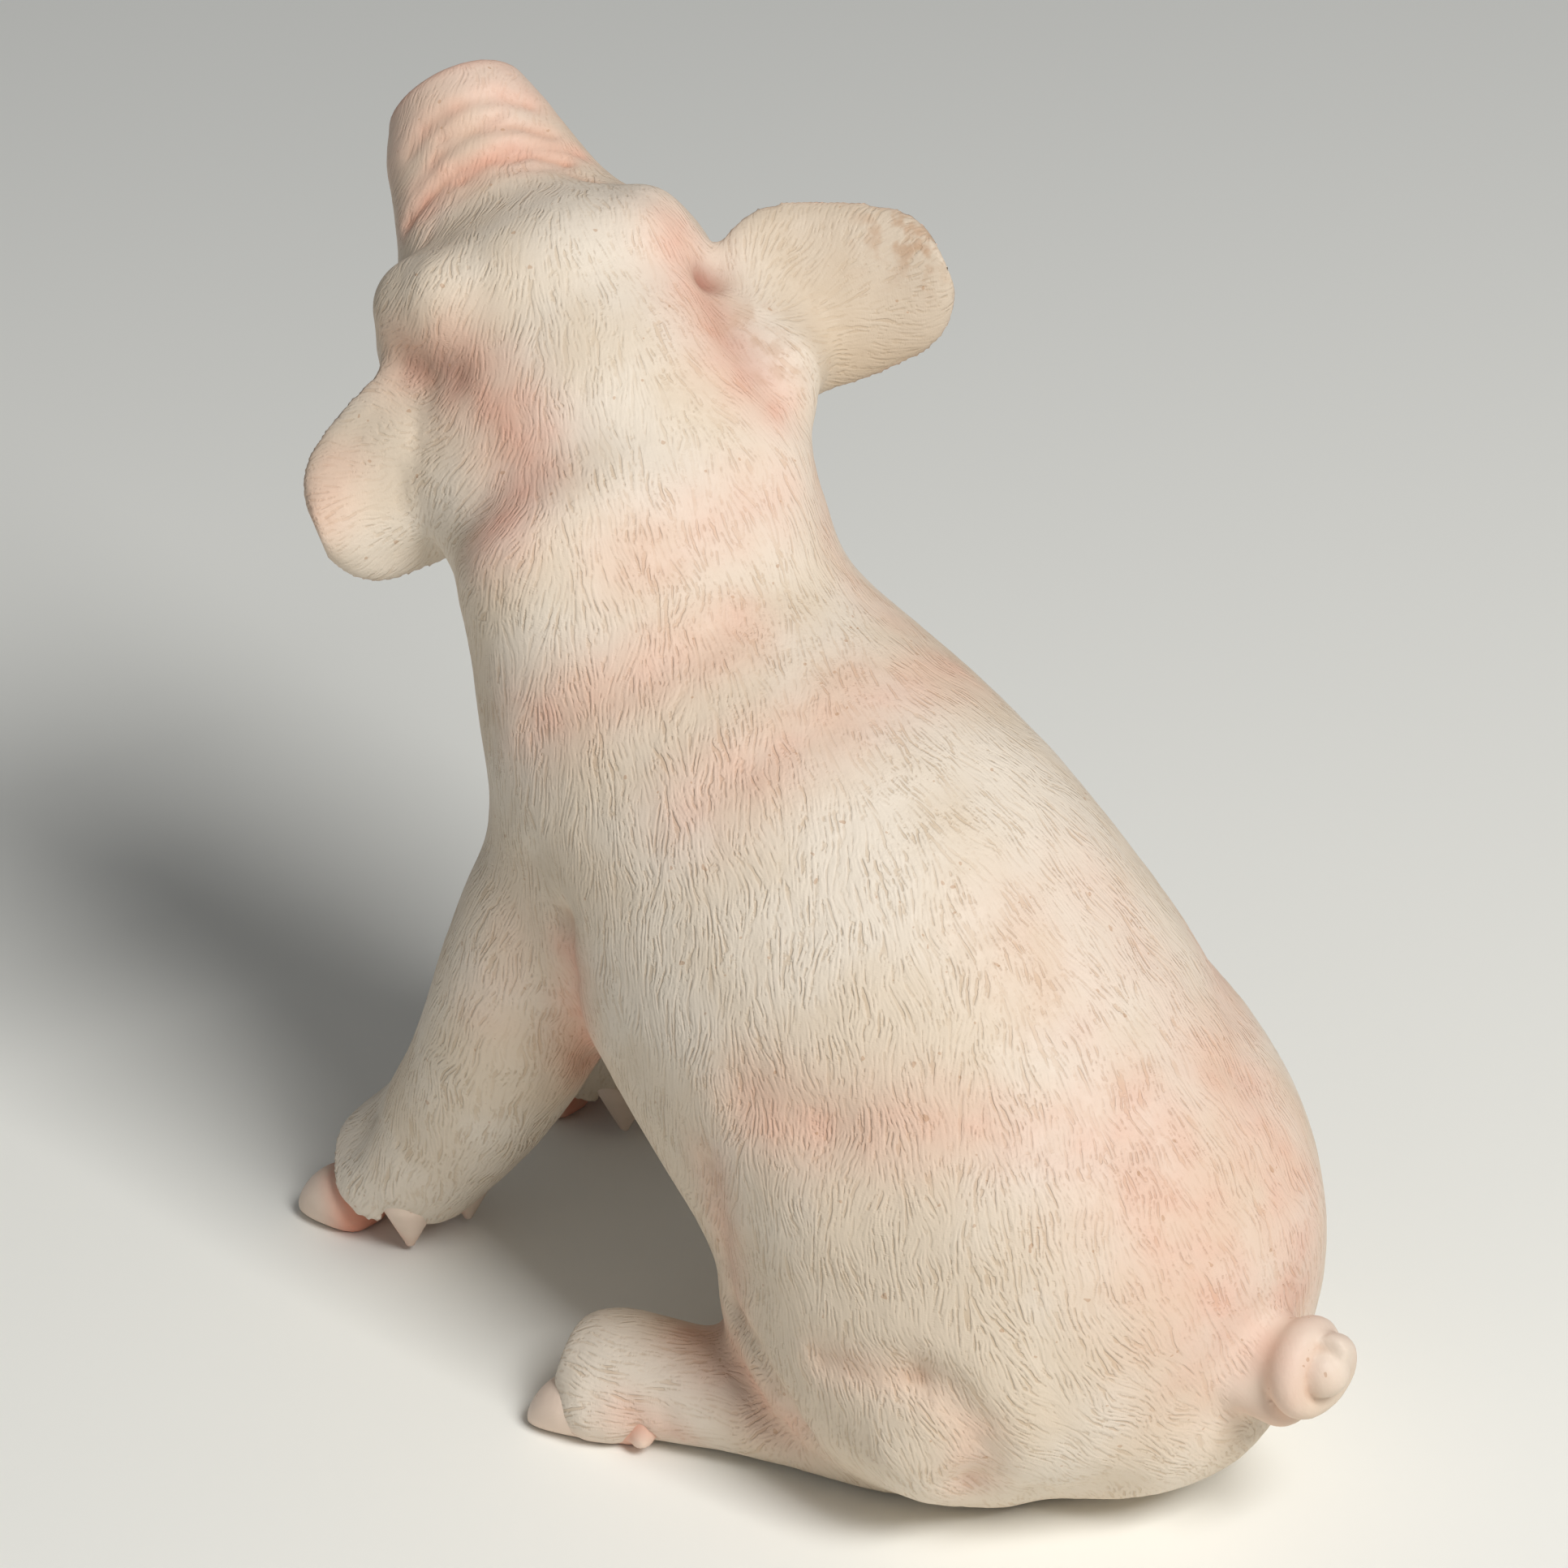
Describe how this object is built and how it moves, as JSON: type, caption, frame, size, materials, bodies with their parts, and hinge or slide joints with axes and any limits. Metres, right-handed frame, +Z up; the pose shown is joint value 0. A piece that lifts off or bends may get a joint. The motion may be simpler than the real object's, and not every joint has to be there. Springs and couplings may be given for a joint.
{
  "type": "pig figurine",
  "caption": "Small seated piglet ornament in painted resin, with its snout raised and its head turned over its shoulder.",
  "frame": {"origin": "on the flat seat that the figure rests on, close to its front edge and in the body's middle plane", "axes": "+Z up; the piglet's chest faces -Y and its tail +Y; +X to its own left"},
  "size_m": [0.0838, 0.1581, 0.1396],
  "materials": {
    "skin": "matte",
    "ear_skin": "matte",
    "tail_skin": "matte",
    "claw": "satin",
    "eye": "gloss",
    "plug": "matte"
  },
  "bodies": {
    "root": {"torso": "skin", "head": "skin", "left_foreleg": "skin", "right_foreleg": "skin", "left_hind_leg": "skin", "right_hind_leg": "skin", "left_ear": "ear_skin", "right_ear": "ear_skin", "tail": "tail_skin", "left_fore_claws": "claw", "right_fore_claws": "claw", "left_hind_claws": "claw", "right_hind_claws": "claw", "left_eye": "eye", "right_eye": "eye", "base_plug": "plug"}
  },
  "joints": []
}
